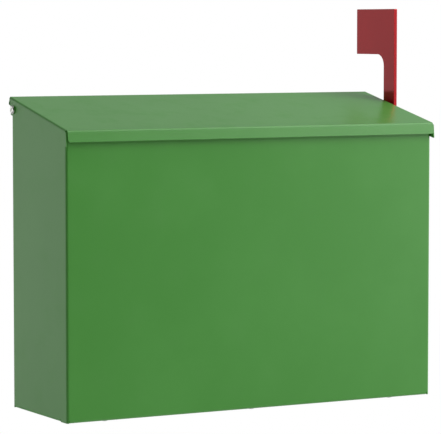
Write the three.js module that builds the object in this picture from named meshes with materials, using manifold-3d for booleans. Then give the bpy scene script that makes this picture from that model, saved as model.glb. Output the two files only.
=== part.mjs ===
// Wall mounted steel letter box: a folded body with a floor and a back, a sloping lid hinged on
// two screws at the rear, a signal flag on the right side and two rails that stand it off the wall.
// Millimetres, +Z up. The front faces -Y and the wall is on +Y. The origin is at the middle of the
// upper rail's wall face. Inside the file, heights count from the bottom of the box and depths
// from its front panel.
import * as THREE from 'three';
import { mergeVertices } from 'three/addons/utils/BufferGeometryUtils.js';
import Module from 'manifold-3d';

const wasm = await Module();
wasm.setup();

const degree = Math.PI / 180;

// ---- box ----
const boxWidth = 400;
const boxDepth = 121;
const frontHeight = 270.9;      // top edge of the side panels where they meet the front panel
const slope = 12.45 * degree;   // the lid's fall towards the front
const bodySheet = 1.2;
const bodyFold = 1.2;           // inside radius of the body's bends
const flangeWidth = 14;         // inward flanges at the bottom and at the rear of the sides
const returnDepth = 12;         // inward flange along the top of the front panel
const foldRelief = 0.5;         // slit where two folds would meet in a corner
const seat = 0.3;               // gap between pieces that rest on each other
const holeClearance = 0.3;      // a hole's radius over the radius of what passes through it

// ---- lid ----
const hingeInset = 8;           // hinge axis to the rear plane and to the sloping top edge
const lidSheet = 1;
const lidFold = 1;
const lidClearance = 0.9;       // top edge of the sides to the underside of the lid
const skirtGap = 0.7;           // side panel to the inside of the lid's skirt
const lidFrontOverhang = 4.0;
const lidRearOverhang = 3.4;
const frontLipLength = 10.9;
const frontLipFlare = 9 * degree;
const rearLipLength = 9.6;
const rearLipFlare = 25 * degree;
const lipEndGap = 0.5;          // a lip's end to the inside of the skirt
const lipRounding = 2.5;        // at the lips' free corners
const skirtDropFront = 14.7;
const skirtDropRear = 16.1;
const skirtCorner = 1.5;
const skirtFrontInset = 0.9;    // skirt's front edge behind the lid's front corner
const skirtRearInset = 3.5;     // skirt's rear edge in front of the lid's rear corner
const skirtLean = 5 * degree;   // both edges lean to the front at their lower ends

// ---- back, floor and rails ----
const backTopRise = 2;          // top of the back panel above the hinge axis
const railStandOff = 28;        // rear plane of the box to the wall
const railSheet = 1.5;
const railFold = 1.5;
const railLength = 300;
const railWebHeight = 30;
const railFoot = 12;
const upperRailDrop = 52;       // hinge axis down to the upper rail's middle
const lowerRailHeight = 45;
const wallHoleSpacing = 200;
const wallHoleRadius = 2.75;
const accessHoleRadius = 7;
const drainRadius = 3;
const drainInset = 32;

// ---- flag ----
const flagThickness = 3.4;
const flagGap = 3.3;            // lid's skirt to the inner face of the flag
const flagFromBack = 35.7;
const flagDrop = 39.7;          // pivot below the side's top edge
const flagReach = 134.9;
const flagArmWidth = 19.6;
const bladeLength = 71.8;
const bladeHeight = 46.3;
const bladeFillet = 12;
const bladeCorner = 1;
const footRadius = 17;
const stopRadius = 11;          // stop pin's distance from the flag's pivot
const flagTravel = Math.PI;     // upright to hanging down beside the box

// ---- hardware ----
const lidScrew = { shank: 2, head: 4.05, height: 2.3, slotWidth: 1.1, slotDepth: 1.1 };
const flagScrew = { shank: 2.5, head: 5, height: 2.8, slotWidth: 1.3, slotDepth: 1.3 };
const slotTurn = 40 * degree;   // a driven screw's slot from upright
const threadEnd = 1.5;          // screw's length past its nut
const threadChamfer = 0.5;
const stopPin = { shank: 2, head: 3.6, height: 1, proud: 1.2, chamfer: 0.4 };
const rivet = { shank: 1.6, dome: 3.3, crown: 1.5, domeHeight: 1.1, tail: 2.3, tailLength: 2.4 };
const bumper = { head: 5, height: 1.6, chamfer: 0.64, neck: 2.2, tip: 1.55, bulb: 3.1, bulbHeight: 2.6 };
const washerThickness = 0.8;
const washerMargin = 2.6;       // washer's rim past its hole
const nutMargin = 1.45;         // nut's half width across flats over the screw's radius
const nutHeight = 3.4;
const collarHeight = 1.6;
const springHeight = 1;

// ---- places that follow ----
const tilt = { along: Math.cos(slope), up: Math.sin(slope) };
const halfBox = boxWidth / 2;
const edgeHeight = (depth) => frontHeight + depth * Math.tan(slope);
const hinge = { y: boxDepth - hingeInset };
hinge.z = edgeHeight(hinge.y) - hingeInset / tilt.along;
const bodyRound = bodyFold + bodySheet;
const lidTop = hingeInset + lidClearance + lidSheet;
const lidRound = lidFold + lidSheet;
const lidInnerHalf = halfBox + skirtGap;
const lidOuterHalf = lidInnerHalf + lidSheet;
const backFace = boxDepth - bodySheet - seat;
const backInside = backFace - bodySheet;
const floorUnder = bodySheet + seat;
const floorTop = floorUnder + bodySheet;
const wallPlane = boxDepth + railStandOff;
const upperRailHeight = hinge.z - upperRailDrop;
const panelHalf = halfBox - bodyRound;   // where the body's corner bends start
const flangeHalf = halfBox - flangeWidth - foldRelief;
const flagInside = lidOuterHalf + flagGap;
const flagPivot = { y: boxDepth - flagFromBack };
flagPivot.z = edgeHeight(flagPivot.y) - flagDrop;

// ---- materials ----
const finish = (color, roughness, metalness) =>
  new THREE.MeshStandardMaterial({ color, roughness, metalness });
const greenCoat = () => finish(0x4f8a45, 0.35, 0.1);
const redCoat = () => finish(0x9c2a2e, 0.3, 0.1);
const brightSteel = () => finish(0xc9c9c6, 0.25, 1);
const zincSteel = () => finish(0xa9abab, 0.45, 0.9);
const rivetAluminium = () => finish(0xb4b6b8, 0.4, 0.9);
const nylon = () => finish(0xe6e4dc, 0.6, 0);
const blackRubber = () => finish(0x1d1d1d, 0.85, 0);

// ---- geometry ----
const arcSteps = 5;
const roundSteps = 20;
const holeSteps = 12;
const rivetSteps = 10;
const snap = (value) => Math.round(value * 1000) / 1000;   // faces that meet share one plane

// A shape drawn in (y, z), (z, x) or (x, y) becomes a prism along x, y or z.
const axes = {
  x: new THREE.Matrix4().set(0, 0, 1, 0, 1, 0, 0, 0, 0, 1, 0, 0, 0, 0, 0, 1),
  y: new THREE.Matrix4().set(0, 1, 0, 0, 0, 0, 1, 0, 1, 0, 0, 0, 0, 0, 0, 1),
  z: new THREE.Matrix4(),
};

function prism(shape, axis, from, to) {
  const settings = { depth: to - from, bevelEnabled: false, curveSegments: arcSteps };
  const geometry = new THREE.ExtrudeGeometry(shape, settings);
  geometry.translate(0, 0, from);
  return geometry.applyMatrix4(axes[axis]);
}

function block(low, high) {
  const size = high.map((value, i) => value - low[i]);
  const geometry = new THREE.BoxGeometry(...size);
  return geometry.translate(...low.map((value, i) => value + size[i] / 2));
}

// A disc's or rod's cylinder along x, y or z.
function rod(axis, radius, centre, length, steps = holeSteps) {
  const geometry = new THREE.CylinderGeometry(radius, radius, length, steps);
  if (axis === 'x') geometry.rotateZ(-Math.PI / 2);
  if (axis === 'z') geometry.rotateX(Math.PI / 2);
  return geometry.translate(...centre);
}

// A turned piece about +Z; its outline is a list of [radius, height] from low to high.
function turned(outline, steps = roundSteps) {
  const points = outline.map(([radius, height]) => new THREE.Vector2(radius, height));
  return new THREE.LatheGeometry(points, steps).rotateX(Math.PI / 2);
}

// The section of a folded sheet. The corners run along one face of the sheet and the sheet lies
// on their right. A corner's bend is concentric on both faces.
function foldedSection(corners, sheet, insideRadius) {
  const face = [];
  const reverse = [];
  const put = (point, normal) => {
    face.push(point);
    reverse.unshift(point.clone().addScaledVector(normal, -sheet));
  };
  const leftOf = (direction) => new THREE.Vector2(-direction.y, direction.x);
  const points = corners.map(([a, b]) => new THREE.Vector2(a, b));
  const heading = (i) => points[i + 1].clone().sub(points[i]).normalize();
  put(points[0].clone(), leftOf(heading(0)));
  for (let i = 1; i < points.length - 1; i += 1) {
    const before = heading(i - 1);
    const turn = Math.atan2(before.cross(heading(i)), before.dot(heading(i)));
    const radius = turn < 0 ? insideRadius + sheet : insideRadius;
    const side = Math.sign(turn);
    const start = points[i].clone().addScaledVector(before, -radius * Math.tan(Math.abs(turn) / 2));
    const centre = start.clone().addScaledVector(leftOf(before), side * radius);
    for (let k = 0; k <= arcSteps; k += 1) {
      const normal = leftOf(before).rotateAround(new THREE.Vector2(), (turn * k) / arcSteps);
      put(centre.clone().addScaledVector(normal, -side * radius), normal);
    }
  }
  const last = points.length - 1;
  put(points[last].clone(), leftOf(heading(last - 1)));
  const outline = [...face, ...reverse].map(({ x, y }) => new THREE.Vector2(snap(x), snap(y)));
  return new THREE.Shape(outline);
}

const solid = (geometry) => {
  const bare = geometry.clone();
  bare.deleteAttribute('normal');
  bare.deleteAttribute('uv');
  const merged = mergeVertices(bare, 1e-4);
  const mesh = new wasm.Mesh({
    numProp: 3,
    vertProperties: Float32Array.from(merged.attributes.position.array),
    triVerts: Uint32Array.from(merged.index.array),
  });
  return new wasm.Manifold(mesh);
};

const geometryOf = (body) => {
  const mesh = body.getMesh();
  const geometry = new THREE.BufferGeometry();
  geometry.setAttribute('position', new THREE.BufferAttribute(mesh.vertProperties, 3));
  geometry.setIndex(new THREE.BufferAttribute(mesh.triVerts, 1));
  geometry.computeVertexNormals();
  return geometry;
};

const joined = (...geometries) =>
  geometries.map(solid).reduce((whole, piece) => whole.add(piece));
const cut = (body, ...geometries) =>
  geometries.map(solid).reduce((rest, tool) => rest.subtract(tool), body);

function addNode(parent, name, geometry, material) {
  const mesh = new THREE.Mesh(geometry, material);
  mesh.name = name;
  parent.add(mesh);
  return mesh;
}

// The names are for the two mirrored sides and for places in a row.
const sides = [
  { name: 'left', sign: -1 },
  { name: 'right', sign: 1 },
];

const box = new THREE.Group();
box.position.set(0, -wallPlane, -upperRailHeight);

// ---- rivets: where each row has its domes, on the outer face of the sheets it holds ----
const across = (reach, count) =>
  Array.from({ length: count }, (_, i) => -reach + (2 * reach * i) / (count - 1));

const flangeMiddle = flangeWidth / 2 + bodySheet;
const backRivets = sides.flatMap(({ name, sign }) => {
  const low = 3 * flangeWidth;
  const step = (hinge.z - 2 * low) / 2;
  return [0, 1, 2].map((i) => ({
    name: `back_rivet_${name}_${i + 1}`,
    at: [sign * (halfBox - flangeMiddle), boxDepth, low + i * step],
  }));
});
const floorRivets = [
  ...across(flangeHalf - 2 * flangeWidth, 3).map((x, i) => ({
    name: `floor_rivet_front_${i + 1}`,
    at: [x, flangeMiddle, 0],
  })),
  ...across(flangeHalf - 2 * flangeWidth, 3).map((x, i) => ({
    name: `floor_rivet_rear_${i + 1}`,
    at: [x, backInside - flangeMiddle, 0],
  })),
  ...sides.map(({ name, sign }) => ({
    name: `floor_rivet_${name}`,
    at: [sign * (halfBox - flangeMiddle), boxDepth / 2, 0],
  })),
];
const rails = [
  { name: 'upper', height: upperRailHeight },
  { name: 'lower', height: lowerRailHeight },
];
const footMiddle = railWebHeight / 2 + railFoot / 2;
const footOuter = backFace + seat + railSheet;
const railRivets = rails.flatMap(({ name, height }) => {
  const reach = railLength / 2 - 2 * railFoot;
  const places = [[-reach, footMiddle], [reach, footMiddle], [-reach, -footMiddle], [reach, -footMiddle]];
  return places.map(([x, rise], i) => ({
    name: `${name}_rail_rivet_${i + 1}`,
    at: [x, footOuter, height + rise],
  }));
});
const rivetHole = rivet.shank + holeClearance;
const holesThrough = (axis, places, reach) => places.map(({ at }) => rod(axis, rivetHole, at, reach));

// ---- folded body: front, both sides and all their flanges from one sheet ----
const returnTop = frontHeight + (lidClearance - bumper.height - 2 * seat) / tilt.along;
const lap = 2 * bodyRound;      // a fold's straight leg laps this far over its panel

// The side panel's outline: its top edge falls forwards and turns round the hinge at the rear.
function sideOutline() {
  const beyond = 5;
  const shape = new THREE.Shape();
  shape.moveTo(-beyond, -beyond);
  shape.lineTo(boxDepth, -beyond);
  shape.lineTo(boxDepth, hinge.z);
  shape.absarc(hinge.y, hinge.z, hingeInset, 0, Math.PI / 2 + slope, false);
  shape.lineTo(-beyond, edgeHeight(-beyond));
  return shape;
}

function bodyShell() {
  const fold = (corners) => foldedSection(corners, bodySheet, bodyFold);
  const rearEnd = halfBox - flangeWidth;
  const plan = fold([
    [rearEnd, boxDepth], [halfBox, boxDepth], [halfBox, 0],
    [-halfBox, 0], [-halfBox, boxDepth], [-rearEnd, boxDepth],
  ]);
  const wrap = solid(prism(plan, 'z', 0, hinge.z + hingeInset))
    .intersect(solid(prism(sideOutline(), 'x', -halfBox, halfBox)));
  const bendStart = returnTop - bodyRound;
  const frontHalf = panelHalf - foldRelief;
  const sideFrom = flangeWidth + foldRelief;
  const sideTo = boxDepth - bodyRound - foldRelief;
  // The wrap stops where the flanges' bends start, and the rear flanges stop short of the hinge.
  const trimmed = cut(
    wrap,
    block([-panelHalf, -1, bendStart], [panelHalf, lap, hinge.z]),
    block([-panelHalf, -1, -1], [panelHalf, lap, bodyRound]),
    block([-halfBox - 1, flangeWidth, -1], [-panelHalf, sideTo + foldRelief, bodyRound]),
    block([panelHalf, flangeWidth, -1], [halfBox + 1, sideTo + foldRelief, bodyRound]),
    block([-panelHalf, backInside, hinge.z - lap], [panelHalf, boxDepth + 1, hinge.z + lap]),
  );
  const frontBottom = fold([[flangeWidth, 0], [0, 0], [0, lap]]);
  const frontReturn = fold([
    [0, bendStart - lap], [0, returnTop],
    [returnDepth * tilt.along, returnTop + returnDepth * tilt.up],
  ]);
  const rightBottom = fold([[0, rearEnd], [0, halfBox], [lap, halfBox]]);
  const leftBottom = fold([[lap, -halfBox], [0, -halfBox], [0, -rearEnd]]);
  const whole = trimmed
    .add(solid(prism(frontBottom, 'x', -frontHalf, frontHalf)))
    .add(solid(prism(frontReturn, 'x', -frontHalf, frontHalf)))
    .add(solid(prism(rightBottom, 'y', sideFrom, sideTo)))
    .add(solid(prism(leftBottom, 'y', sideFrom, sideTo)));
  const pinPlace = [halfBox, flagPivot.y + stopRadius, flagPivot.z];
  return cut(
    whole,
    rod('x', lidScrew.shank + holeClearance, [0, hinge.y, hinge.z], 2 * boxWidth),
    rod('x', flagScrew.shank + holeClearance, [halfBox, flagPivot.y, flagPivot.z], lap),
    rod('x', stopPin.shank + holeClearance, pinPlace, lap),
    ...holesThrough('y', backRivets, lap),
    ...holesThrough('z', floorRivets, lap),
    ...bumperPlaces.map(({ matrix }) => rod('z', bumperHole, [0, 0, 0], lap).applyMatrix4(matrix)),
  );
}

// ---- lid buffers: rubber buttons pushed into the front's top flange ----
const bumperHole = bumper.neck + holeClearance;
const bumperPlaces = sides.map(({ name, sign }) => {
  const along = (returnDepth + bodyRound) / 2;
  const holder = new THREE.Object3D();
  holder.position.set(
    sign * (halfBox - 4 * flangeWidth),
    along * tilt.along,
    returnTop + along * tilt.up,
  );
  holder.rotation.x = slope;
  holder.updateMatrix();
  return { name, holder, matrix: holder.matrix };
});

function bumperButton() {
  const { head, height, chamfer, neck, tip, bulb, bulbHeight } = bumper;
  const under = -bodySheet - seat;
  const top = seat + height;
  return turned([
    [0, under - bulbHeight], [tip, under - bulbHeight], [bulb, under], [neck, under],
    [neck, seat], [head, seat], [head, top - chamfer], [head - chamfer, top], [0, top],
  ]);
}

// ---- back panel with a floor flange and a stiffening top fold ----
function backPanel() {
  const top = hinge.z + backTopRise;
  const foldHalf = flangeHalf - bodySheet;
  const section = foldedSection([
    [backInside - flangeWidth, top], [backFace, top],
    [backFace, 0], [backInside - flangeWidth, 0],
  ], bodySheet, bodyFold);
  const plate = block([-panelHalf, backInside, floorUnder], [panelHalf, backFace, top - bodyRound]);
  const holes = rails.flatMap(({ height }) => wallHoles(height, accessHoleRadius, backFace));
  return cut(
    joined(plate, prism(section, 'x', -foldHalf, foldHalf)),
    ...holes,
    ...holesThrough('y', backRivets, 2 * lap),
    ...holesThrough('y', railRivets, 2 * lap),
    ...holesThrough('z', floorRivets, lap),
  );
}

const wallHoles = (height, radius, depth) =>
  [-1, 1].map((sign) => rod('y', radius, [(sign * wallHoleSpacing) / 2, depth, height], lap));

// ---- floor: a plate on the bottom flanges, drained near its corners ----
function floorPanel() {
  const front = bodyRound;
  const rear = backFace - bodyRound;
  const plate = solid(block([-panelHalf, front, floorUnder], [panelHalf, rear, floorTop]));
  const drains = [front + drainInset, rear - drainInset].flatMap((y) =>
    [-1, 1].map((sign) => rod('z', drainRadius, [sign * (panelHalf - drainInset), y, floorTop], lap)));
  return cut(plate, ...drains, ...holesThrough('z', floorRivets, 2 * lap));
}

// ---- wall rail: a hat section with its feet on the back panel and its web on the wall ----
function wallRail(height) {
  const foot = backFace + seat;
  const half = railWebHeight / 2;
  const section = foldedSection([
    [foot + railSheet, height - half - railFoot], [foot + railSheet, height - half],
    [wallPlane, height - half], [wallPlane, height + half],
    [foot + railSheet, height + half], [foot + railSheet, height + half + railFoot],
  ].reverse(), railSheet, railFold);
  return cut(
    solid(prism(section, 'x', -railLength / 2, railLength / 2)),
    ...wallHoles(height, wallHoleRadius, wallPlane),
    ...holesThrough('y', railRivets, lap),
  );
}

function blindRivet(grip) {
  const { shank, dome, crown, domeHeight, tail, tailLength } = rivet;
  const end = -grip - seat;
  return turned([
    [0, end - tailLength], [tail, end - tailLength / 2], [tail, end], [shank, end],
    [shank, seat], [dome, seat], [crown, seat + domeHeight], [0, seat + domeHeight],
  ], rivetSteps);
}

// ---- lid, drawn flat about the hinge axis: y runs up its slope to the rear, z is square to it ----
const lidEnd = (depth) => (depth - hinge.y + lidTop * tilt.up) / tilt.along;
// A lip's turn is from square to the flat; its free edge goes to the rear where the turn is positive.
const lip = (depth, length, turn) => {
  const corner = lidEnd(depth);
  return {
    corner,
    turn,
    tip: [corner + length * Math.sin(turn), lidTop - length * Math.cos(turn)],
    bend: lidRound * Math.tan((Math.PI / 2 - Math.abs(turn)) / 2),
  };
};
const frontLip = lip(-lidFrontOverhang, frontLipLength, -frontLipFlare - slope);
const rearLip = lip(boxDepth + lidRearOverhang, rearLipLength, rearLipFlare - slope);
// Where the flat top ends and the bends into the two lips begin.
const flatFront = frontLip.corner + frontLip.bend;
const flatRear = rearLip.corner - rearLip.bend;

function lidShell() {
  const fold = (corners) => foldedSection(corners, lidSheet, lidFold);
  const corners = [frontLip, rearLip].map(({ corner }) => [corner, lidTop]);
  const section = fold([frontLip.tip, ...corners, rearLip.tip]);
  const lipHalf = lidInnerHalf - lipEndGap;
  const pan = solid(prism(section, 'x', -lipHalf, lipHalf));
  const flatHalf = lidOuterHalf - lidRound;
  // The flat's side strips give way to the skirts' folds and leave an open notch at each corner.
  const strips = sides.map(({ sign }) => {
    const [low, high] = [sign * flatHalf, sign * (lidInnerHalf + 1)].sort((a, b) => a - b);
    const notch = foldRelief / 2;
    return block([low, flatFront + notch, lidTop - lidRound], [high, flatRear - notch, lidTop + 1]);
  });
  const plates = sides.map(({ sign }) => {
    const faces = [sign * lidInnerHalf, sign * lidOuterHalf].sort((a, b) => a - b);
    return prism(skirtOutline(), 'x', ...faces);
  });
  const leg = flatHalf - lidRound;
  const foot = lidTop - 2 * lidRound;
  const folds = [
    fold([[foot, lidOuterHalf], [lidTop, lidOuterHalf], [lidTop, leg]]),
    fold([[lidTop, -leg], [lidTop, -lidOuterHalf], [foot, -lidOuterHalf]]),
  ].map((profile) => prism(profile, 'y', flatFront + foldRelief, flatRear - foldRelief));
  const roundings = sides.flatMap(({ sign }) =>
    [frontLip, rearLip].map((end) => cornerCutter(sign, sign * lipHalf, end)));
  return cut(
    cut(pan, ...strips, ...roundings).add(joined(...folds, ...plates)),
    rod('x', lidScrew.shank + holeClearance, [0, 0, 0], 2 * boxWidth),
  );
}

// What rounds off a lip's free corner: drawn in the lip's own plane, upwards from its free edge
// and sideways from its end, then turned to lie across the lip.
function cornerCutter(sign, end, { tip, turn }) {
  const past = lidSheet;
  const shape = new THREE.Shape();
  shape.moveTo(lipRounding, 0);
  shape.quadraticCurveTo(0, 0, 0, -sign * lipRounding);
  shape.lineTo(-past, -sign * lipRounding);
  shape.lineTo(-past, sign * past);
  shape.lineTo(lipRounding, sign * past);
  const cutter = prism(shape, 'y', -2 * lidSheet, 2 * lidSheet);
  return cutter.rotateX(turn).translate(end, ...tip);
}

// A skirt's flat part: its lower edge nears the top towards the front, its lower corners are rounded.
function skirtOutline() {
  const along = (start, drop) => [start - drop * Math.tan(skirtLean + slope), lidTop - drop];
  const front = (drop) => along(frontLip.corner + skirtFrontInset, drop);
  const rear = (drop) => along(rearLip.corner - skirtRearInset, drop);
  const [frontEnd, rearEnd] = [front(skirtDropFront), rear(skirtDropRear)];
  const shape = new THREE.Shape();
  shape.moveTo(...front(lidRound));
  shape.lineTo(...front(skirtDropFront - skirtCorner));
  shape.quadraticCurveTo(...frontEnd, frontEnd[0] + skirtCorner, frontEnd[1]);
  shape.lineTo(rearEnd[0] - skirtCorner, rearEnd[1]);
  shape.quadraticCurveTo(...rearEnd, ...rear(skirtDropRear - skirtCorner));
  shape.lineTo(...rear(lidRound));
  return shape;
}

// ---- flag, drawn about its pivot in (y, z): +y is towards the wall while it stands up ----
function flagPlate() {
  const half = flagArmWidth / 2;
  const rear = bladeLength - half;
  const bladeFoot = flagReach - bladeHeight;
  const root = Math.sqrt(footRadius ** 2 - half ** 2);
  const shape = new THREE.Shape();
  shape.moveTo(half, root);
  shape.lineTo(half, bladeFoot - bladeFillet);
  shape.absarc(half + bladeFillet, bladeFoot - bladeFillet, bladeFillet, Math.PI, Math.PI / 2, true);
  shape.lineTo(rear - bladeCorner, bladeFoot);
  shape.absarc(rear - bladeCorner, bladeFoot + bladeCorner, bladeCorner, -Math.PI / 2, 0, false);
  shape.lineTo(rear, flagReach - bladeCorner);
  shape.absarc(rear - bladeCorner, flagReach - bladeCorner, bladeCorner, 0, Math.PI / 2, false);
  shape.lineTo(bladeCorner - half, flagReach);
  shape.absarc(bladeCorner - half, flagReach - bladeCorner, bladeCorner, Math.PI / 2, Math.PI, false);
  shape.lineTo(-half, root);
  const rootAngle = Math.atan2(root, half);
  shape.absarc(0, 0, footRadius, Math.PI - rootAngle, rootAngle + 2 * Math.PI, false);
  shape.holes.push(circle(flagScrew.shank + holeClearance), stopSlot());
  return prism(shape, 'x', 0, flagThickness);
}

function circle(radius) {
  const path = new THREE.Path();
  path.absarc(0, 0, radius, 0, 2 * Math.PI, true);
  return path;
}

// The curved slot that the stop pin works in: the pin is at one end with the flag up and at the
// other end with the flag down.
function stopSlot() {
  const half = stopPin.shank + holeClearance;
  const from = -flagTravel;
  const path = new THREE.Path();
  path.absarc(0, 0, stopRadius + half, from, 0, false);
  path.absarc(stopRadius, 0, half, 0, Math.PI, false);
  path.absarc(0, 0, stopRadius - half, 0, from, true);
  path.absarc(stopRadius * Math.cos(from), stopRadius * Math.sin(from), half, from + Math.PI, from + 2 * Math.PI, false);
  return path;
}

// ---- screws, nuts and washers, each turned about +Z with its seat at zero ----
function slottedScrew({ shank, head, height, slotWidth, slotDepth }, grip) {
  // A pan head: upright at its rim, then an elliptical shoulder up to a flat top.
  const rim = height / 2;
  const flat = head / 2;
  const shoulder = [0, 1, 2, 3].map((k) => [
    flat + (head - flat) * Math.cos((k * Math.PI) / 6),
    rim + (height - rim) * Math.sin((k * Math.PI) / 6),
  ]);
  const body = turned([
    [0, -grip], [shank - threadChamfer, -grip], [shank, -grip + threadChamfer], [shank, 0],
    [head, 0], ...shoulder, [0, height],
  ]);
  const slot = block([-head, -slotWidth / 2, height - slotDepth], [head, slotWidth / 2, height + 1]);
  return geometryOf(cut(solid(body), slot));
}

function lockNut(radius) {
  const half = (radius + nutMargin) / Math.cos(Math.PI / 6);
  const hexagon = new THREE.CylinderGeometry(half, half, nutHeight, 6).rotateX(Math.PI / 2);
  const hex = hexagon.translate(0, 0, -nutHeight / 2);
  const collar = radius + nutMargin * 0.75;
  const ring = rod('z', collar, [0, 0, -nutHeight], 2 * collarHeight);
  const hole = rod('z', radius + holeClearance, [0, 0, 0], 4 * nutHeight);
  return geometryOf(cut(joined(hex, ring), hole));
}

const ringOf = (inner, outer, thickness) =>
  turned([[inner, 0], [outer, 0], [outer, thickness], [inner, thickness], [inner, 0]]);

// A dished spring washer: its rim sits on the piece below and its hub under the screw's head.
const springRing = (inner, outer) => {
  const leaf = 0.4;
  const rise = springHeight - leaf;
  return turned([[inner, rise], [outer, 0], [outer, leaf], [inner, rise + leaf], [inner, rise]]);
};

const place = (mesh, position, turn = [0, 0, 0]) => {
  mesh.position.set(...position);
  mesh.rotation.set(...turn);
};
const outward = (sign, spin = 0) => [0, (sign * Math.PI) / 2, spin];

// ---- assembly ----
addNode(box, 'body_shell', geometryOf(bodyShell()), greenCoat());
addNode(box, 'back_panel', geometryOf(backPanel()), greenCoat());
addNode(box, 'floor_panel', geometryOf(floorPanel()), greenCoat());
rails.forEach(({ name, height }) =>
  addNode(box, `${name}_wall_rail`, geometryOf(wallRail(height)), greenCoat()));

const panelGrip = 2 * bodySheet + seat;
const railGrip = railSheet + seat + bodySheet;
const toWall = [-Math.PI / 2, 0, 0];
const downwards = [Math.PI, 0, 0];
[
  [backRivets, panelGrip, toWall],
  [floorRivets, panelGrip, downwards],
  [railRivets, railGrip, toWall],
].forEach(([row, grip, turn]) => row.forEach(({ name, at }) =>
  place(addNode(box, name, blindRivet(grip), rivetAluminium()), at, turn)));

bumperPlaces.forEach(({ name, holder }) => {
  box.add(holder);
  addNode(holder, `lid_bumper_${name}`, bumperButton(), blackRubber());
});

const lid = new THREE.Group();
lid.position.set(0, hinge.y, hinge.z);
lid.rotation.x = slope;
box.add(lid);
addNode(lid, 'lid', geometryOf(lidShell()), greenCoat());

const insideWasher = halfBox - bodySheet - seat;
const insideNut = insideWasher - washerThickness - seat;
sides.forEach(({ name, sign }) => {
  const headSeat = lidOuterHalf + seat;
  const reach = headSeat - insideNut + nutHeight + collarHeight + threadEnd;
  const at = (x) => [sign * x, hinge.y, hinge.z];
  const hole = lidScrew.shank + holeClearance;
  const screw = addNode(box, `lid_screw_${name}`, slottedScrew(lidScrew, reach), brightSteel());
  place(screw, at(headSeat), outward(sign, slotTurn));
  const washer = addNode(box, `lid_washer_${name}`, ringOf(hole, hole + washerMargin, washerThickness), zincSteel());
  place(washer, at(insideWasher - washerThickness), outward(sign));
  place(addNode(box, `lid_nut_${name}`, lockNut(lidScrew.shank), zincSteel()), at(insideNut), outward(sign));
});

const flagOutside = flagInside + flagThickness;
const atFlag = (x) => [x, flagPivot.y, flagPivot.z];
place(addNode(box, 'flag', flagPlate(), redCoat()), atFlag(flagInside));

const flagHole = flagScrew.shank + holeClearance;
const hubRadius = stopRadius - stopPin.shank - 2 * holeClearance;
const spacerLength = flagInside - halfBox - 2 * seat;
const flagHeadSeat = flagOutside + springHeight + 2 * seat;
const flagReachIn = flagHeadSeat - insideNut + nutHeight + collarHeight + threadEnd;
[
  ['flag_spacer', ringOf(flagHole, hubRadius - seat, spacerLength), nylon(), halfBox + seat],
  ['flag_spring_washer', springRing(flagHole, hubRadius - seat), zincSteel(), flagOutside + seat],
  ['flag_screw', slottedScrew(flagScrew, flagReachIn), brightSteel(), flagHeadSeat],
  ['flag_washer', ringOf(flagHole, flagHole + washerMargin, washerThickness), zincSteel(), insideWasher - washerThickness],
  ['flag_nut', lockNut(flagScrew.shank), zincSteel(), insideNut],
].forEach(([name, geometry, material, x]) => place(addNode(box, name, geometry, material), atFlag(x), outward(1)));

const pinEnd = flagOutside + stopPin.proud;
const pinHead = -bodySheet - 2 * seat;
const stopPinShape = turned([
  [0, pinHead - stopPin.height], [stopPin.head, pinHead - stopPin.height], [stopPin.head, pinHead + seat],
  [stopPin.shank, pinHead + seat], [stopPin.shank, pinEnd - halfBox - stopPin.chamfer],
  [stopPin.shank - stopPin.chamfer, pinEnd - halfBox], [0, pinEnd - halfBox],
]);
const pin = addNode(box, 'flag_stop_pin', stopPinShape, zincSteel());
place(pin, [halfBox, flagPivot.y + stopRadius, flagPivot.z], outward(1));

const mailbox = new THREE.Group();
mailbox.add(box);
export default mailbox;
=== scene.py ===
import math

import bmesh
import bpy
import numpy as np
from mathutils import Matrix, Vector


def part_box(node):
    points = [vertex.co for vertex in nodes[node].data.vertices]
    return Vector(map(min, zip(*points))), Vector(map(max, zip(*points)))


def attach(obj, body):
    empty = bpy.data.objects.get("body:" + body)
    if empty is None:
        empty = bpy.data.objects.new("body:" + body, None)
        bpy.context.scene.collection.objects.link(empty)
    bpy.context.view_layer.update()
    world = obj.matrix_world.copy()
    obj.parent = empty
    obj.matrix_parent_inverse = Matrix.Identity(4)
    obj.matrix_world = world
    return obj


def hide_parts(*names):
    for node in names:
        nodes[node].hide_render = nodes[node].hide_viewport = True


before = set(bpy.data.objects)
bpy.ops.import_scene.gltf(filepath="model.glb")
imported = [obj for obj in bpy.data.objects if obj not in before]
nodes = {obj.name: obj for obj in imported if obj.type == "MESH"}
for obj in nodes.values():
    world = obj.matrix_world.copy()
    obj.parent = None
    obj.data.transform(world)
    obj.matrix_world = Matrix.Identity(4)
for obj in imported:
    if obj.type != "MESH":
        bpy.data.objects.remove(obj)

# Wall mounted steel letter box: powder coated shells, a red signal flag, bright slotted screws.
# Metres, Z up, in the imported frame. The front faces -Y and the wall is on +Y.
scene = bpy.context.scene
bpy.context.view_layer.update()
bodyLow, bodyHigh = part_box("body_shell")
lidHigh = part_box("lid")[1]
mm = 0.001
turn = 2 * math.pi
print("frame loaded:", len(nodes), "CAD nodes")

# Sizes that several pieces share. Depths y count from the front panel, heights z from the bottom.
box = {
    "halfWidth": bodyHigh.x,
    "depth": bodyHigh.y - bodyLow.y,
    "frontHeight": 270.9 * mm,
    "slope": math.radians(12.45),
    "sheet": 1.2 * mm,
    "bend": 2.4 * mm,           # outer radius of the body's bends
    "flange": 14 * mm,
    "returnDepth": 12 * mm,     # the flange along the top of the front panel
    "returnDrop": 1.33 * mm,    # that flange's fold under the sides' front corners
    "slit": 0.5 * mm,           # between two folds in a corner
    "gap": 0.3 * mm,            # between pieces that rest on each other
    "hingeInset": 8 * mm,
}
origin = np.array([0, bodyLow.y, bodyLow.z])
slopeCos, slopeSin = math.cos(box["slope"]), math.sin(box["slope"])


def edgeHeight(y):
    # top edge of the sides
    return box["frontHeight"] + y * math.tan(box["slope"])


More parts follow.
